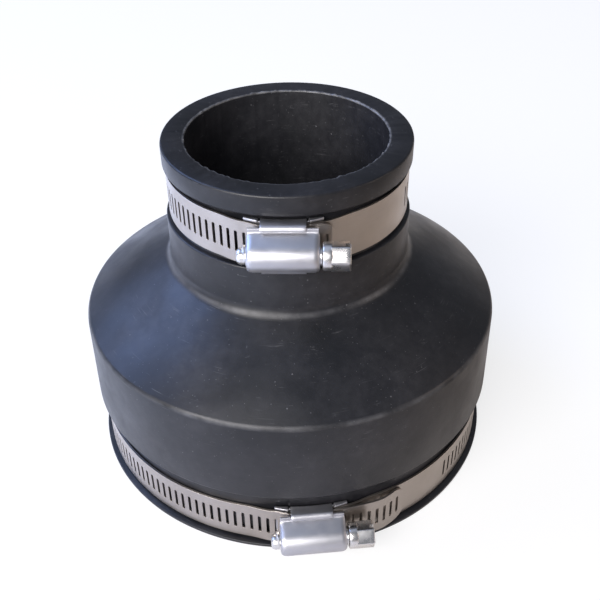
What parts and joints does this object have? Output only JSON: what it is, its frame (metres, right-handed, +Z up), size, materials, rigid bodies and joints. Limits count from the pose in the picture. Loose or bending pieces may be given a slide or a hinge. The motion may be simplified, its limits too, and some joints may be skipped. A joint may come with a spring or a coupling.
{
  "type": "flexible reducing pipe coupling",
  "caption": "Moulded rubber reducing coupling that joins a small pipe to a large one, with a slotted steel band clamp and worm screw round each socket.",
  "frame": {"origin": "middle of the bounding box on the plane that the large end stands on; the pipe axis stands 4.2 mm behind it, at y = 0.0042 m, because the lower clamp's screw housing stands out in front", "axes": "+Z up along the pipe axis from the large end to the small end, -Y towards the clamps' screws, +X towards the screws' heads"},
  "size_m": [0.1334, 0.1422, 0.1065],
  "materials": {
    "rubber": "matt moulded rubber",
    "band_steel": "rolled strip, satin",
    "housing_steel": "polished",
    "screw_steel": "bright plated"
  },
  "bodies": {
    "sleeve": {"rubber_sleeve": "rubber"},
    "upper_clamp": {"upper_band": "band_steel", "upper_housing": "housing_steel", "upper_saddle": "housing_steel"},
    "upper_worm": {"upper_screw": "screw_steel"},
    "lower_clamp": {"lower_band": "band_steel", "lower_housing": "housing_steel", "lower_saddle": "housing_steel"},
    "lower_worm": {"lower_screw": "screw_steel"}
  },
  "joints": [
    {"name": "upper_clamp_turn", "type": "hinge", "parent": "sleeve", "child": "upper_clamp", "pos_m": [0, 0.00422, 0.09177], "axis": [0, 0, 1], "continuous": true},
    {"name": "upper_screw_turn", "type": "hinge", "parent": "upper_clamp", "child": "upper_worm", "pos_m": [-0.00169, -0.03788, 0.09129], "axis": [0.9992, -0.0401, 0], "continuous": true},
    {"name": "lower_clamp_turn", "type": "hinge", "parent": "sleeve", "child": "lower_clamp", "pos_m": [0, 0.00422, 0.00894], "axis": [0, 0, 1], "continuous": true},
    {"name": "lower_screw_turn", "type": "hinge", "parent": "lower_clamp", "child": "lower_worm", "pos_m": [0.00518, -0.06628, 0.00938], "axis": [0.9973, 0.0732, 0], "continuous": true}
  ]
}
